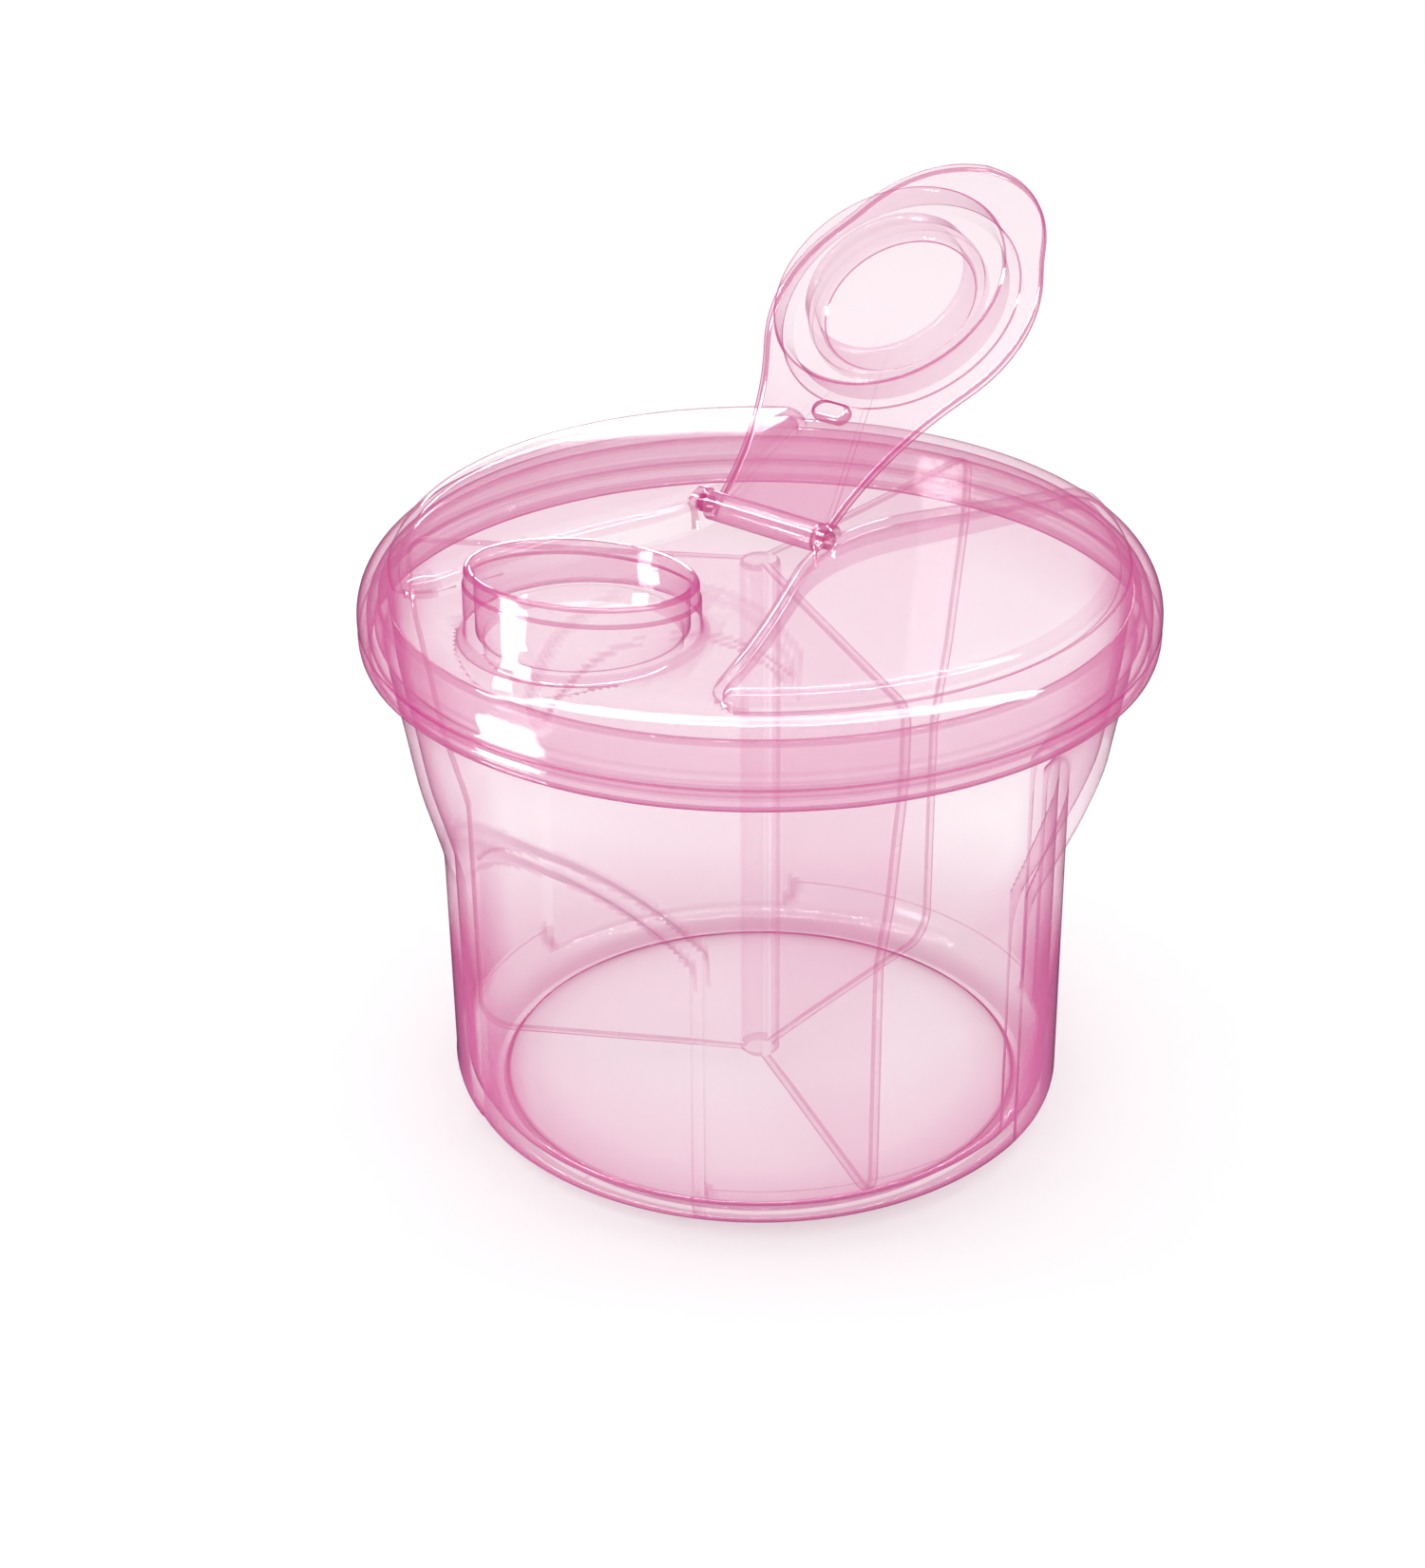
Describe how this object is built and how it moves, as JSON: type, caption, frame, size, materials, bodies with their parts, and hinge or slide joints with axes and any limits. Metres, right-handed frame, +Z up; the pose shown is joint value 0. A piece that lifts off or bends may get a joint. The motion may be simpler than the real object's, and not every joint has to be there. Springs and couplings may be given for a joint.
{
  "type": "milk powder dispenser",
  "caption": "Round milk powder dispenser: tapered cup, lift-out winged divider, turning lid with a pouring spout and a hinged flip cap.",
  "frame": {"origin": "centre of the foot ring, on the surface that the cup stands on", "axes": "+Z up along the cup's axis, the pouring spout towards -Y, the flip cap's hinge along X"},
  "size_m": [0.108, 0.108, 0.1219],
  "materials": {
    "pink_plastic": "gloss"
  },
  "bodies": {
    "cup": {"cup": "pink_plastic"},
    "divider": {"divider": "pink_plastic"},
    "lid": {"lid": "pink_plastic"},
    "flap": {"flap_cap": "pink_plastic"}
  },
  "joints": [
    {"name": "divider_lift", "type": "slide", "parent": "cup", "child": "divider", "axis": [0, 0, 1], "range_m": [0, 0.085]},
    {"name": "lid_turn", "type": "hinge", "parent": "divider", "child": "lid", "pos_m": [0, 0, 0.0745], "axis": [0, 0, 1], "continuous": true},
    {"name": "flap_hinge", "type": "hinge", "parent": "lid", "child": "flap", "pos_m": [0, 0.001, 0.0848], "axis": [-1, 0, 0], "range_deg": [-135, 30]}
  ]
}
